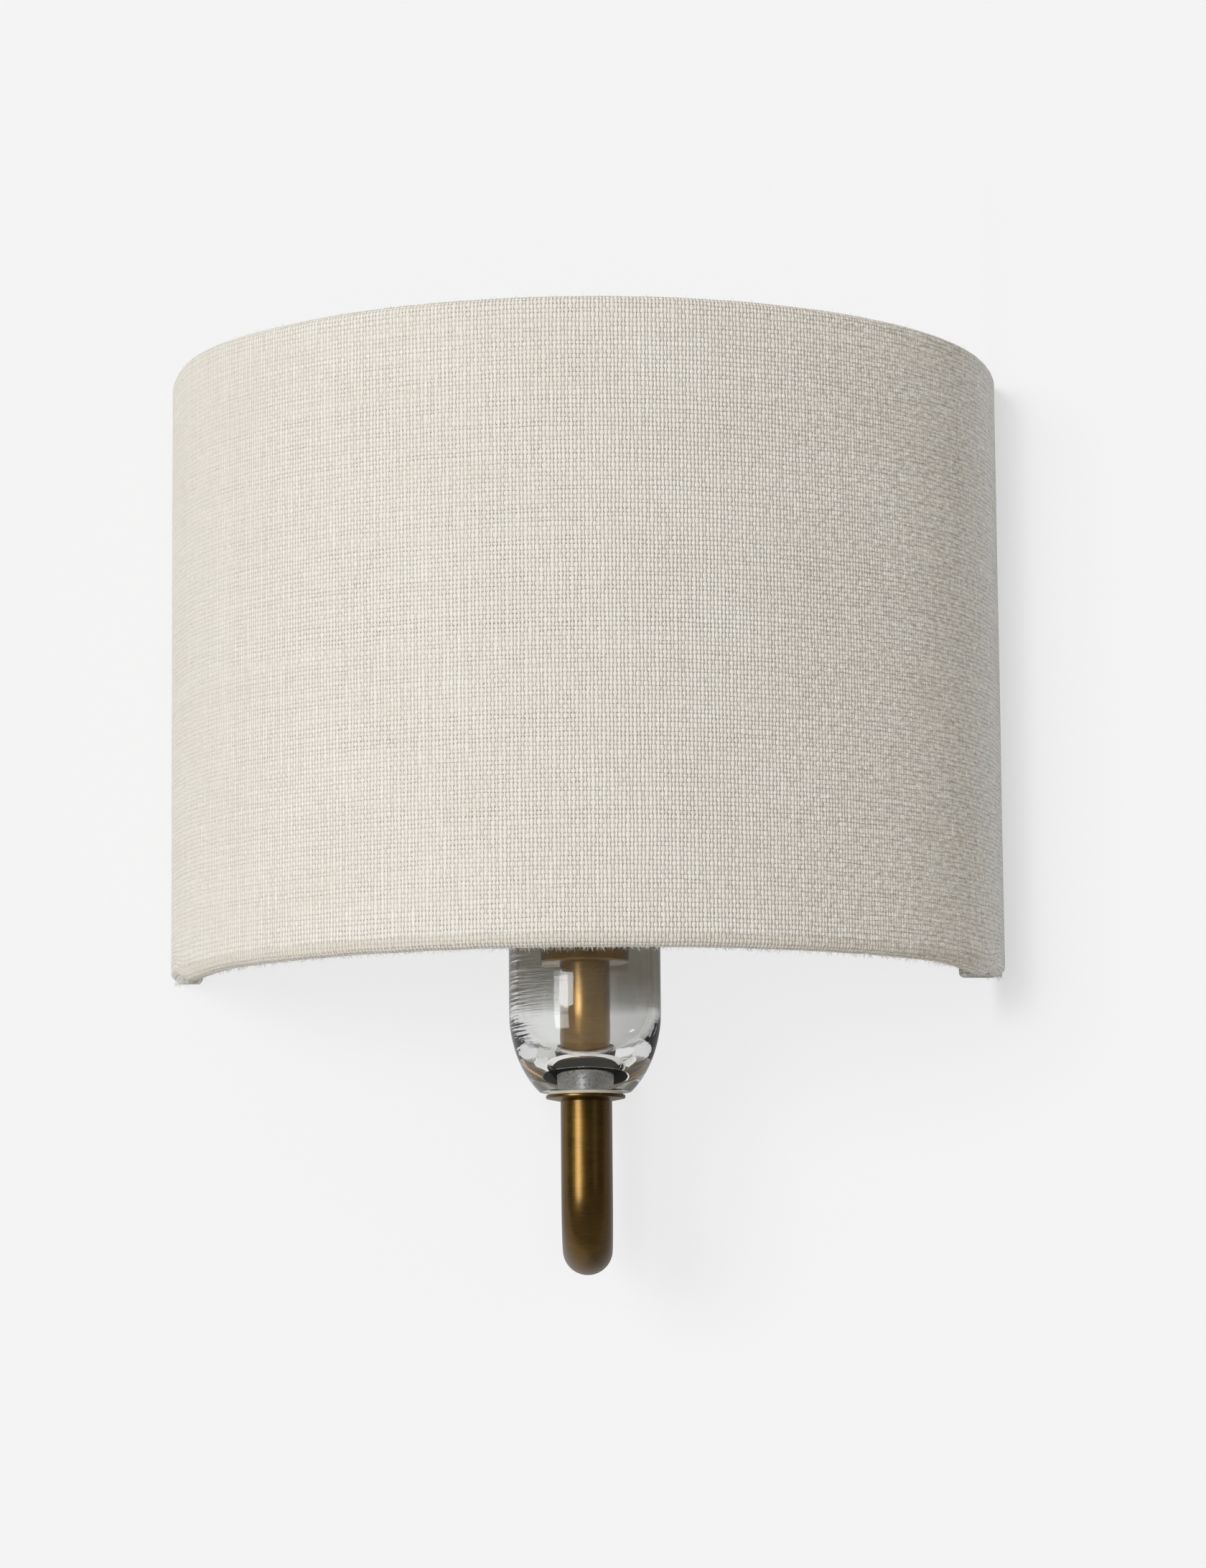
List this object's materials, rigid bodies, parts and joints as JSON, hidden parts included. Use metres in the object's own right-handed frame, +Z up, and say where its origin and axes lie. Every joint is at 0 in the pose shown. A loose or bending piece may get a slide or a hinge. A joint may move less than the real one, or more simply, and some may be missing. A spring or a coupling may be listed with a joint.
{
  "type": "wall light",
  "caption": "Wall light with a half-drum linen shade over a clear glass cup, carried by a J-shaped brass tube arm from a round wall plate",
  "frame": {"origin": "On the wall, at the middle of the mounting bar's two slots.", "axes": "+Z up, +Y into the wall, +X to the right as seen by someone who faces the light."},
  "size_m": [0.3302, 0.1691, 0.3583],
  "materials": {
    "aged_brass": "aged, brushed",
    "bright_brass": "bright, plated",
    "zinc_steel": "zinc plated",
    "linen": "coarse natural linen",
    "liner": "matte off-white sheet",
    "white_wire": "white enamelled wire",
    "clear_glass": "clear, mould blown",
    "frosted_bulb": "frosted",
    "black_rubber": "matte",
    "black_phenolic": "moulded, satin",
    "bulb_metal": "rolled",
    "bulb_ceramic": "dark glazed",
    "filament": "phosphor coated",
    "black_lead": "smooth insulation",
    "white_lead": "smooth insulation",
    "cap_plastic": "ribbed",
    "ground_green": "green dyed"
  },
  "bodies": {
    "light": {"wall_plate": "aged_brass", "mounting_bar": "zinc_steel", "plate_studs": "zinc_steel", "ground_screw": "ground_green", "back_nipple": "zinc_steel", "back_nut": "zinc_steel", "lock_washer": "zinc_steel", "arm_tube": "aged_brass", "arm_front_plug": "bright_brass", "arm_back_plug": "bright_brass", "arm_collar": "aged_brass", "glass_disc": "aged_brass", "glass_lower_gasket": "black_rubber", "glass_cup": "clear_glass", "glass_upper_washer": "black_rubber", "glass_sleeve": "aged_brass", "front_nipple": "zinc_steel", "front_nut": "zinc_steel", "holder_cup": "aged_brass", "holder_body": "black_phenolic", "holder_screw_shell": "bright_brass", "holder_centre_contact": "bright_brass", "holder_terminals": "bright_brass", "shade_fabric": "linen", "shade_liner": "liner", "shade_bottom_wire": "white_wire", "shade_top_wire": "white_wire", "shade_left_bar": "white_wire", "shade_right_bar": "white_wire", "shade_front_rod": "white_wire", "shade_fitter_ring": "white_wire", "shade_spider_wires": "white_wire", "lead_live": "black_lead", "lead_neutral": "white_lead", "wire_caps": "cap_plastic"},
    "bulb": {"bulb_glass": "frosted_bulb", "bulb_cap": "bulb_metal", "bulb_insulator": "bulb_ceramic", "bulb_tip": "bulb_metal", "bulb_stem": "frosted_bulb", "bulb_filaments": "filament"},
    "ring_nut": {"shade_ring_nut": "black_phenolic"},
    "left_nut": {"cap_nut_left": "aged_brass"},
    "right_nut": {"cap_nut_right": "aged_brass"}
  },
  "joints": [
    {"name": "bulb_turn", "type": "hinge", "parent": "light", "child": "bulb", "pos_m": [0, -0.09, -0.0545], "axis": [0, 0, 1], "continuous": true},
    {"name": "ring_nut_turn", "type": "hinge", "parent": "light", "child": "ring_nut", "pos_m": [0, -0.09, -0.0628], "axis": [0, 0, 1], "continuous": true},
    {"name": "left_nut_turn", "type": "hinge", "parent": "light", "child": "left_nut", "pos_m": [-0.0254, -0.022, 0], "axis": [0, -1, 0], "continuous": true},
    {"name": "right_nut_turn", "type": "hinge", "parent": "light", "child": "right_nut", "pos_m": [0.0254, -0.022, 0], "axis": [0, -1, 0], "continuous": true}
  ]
}
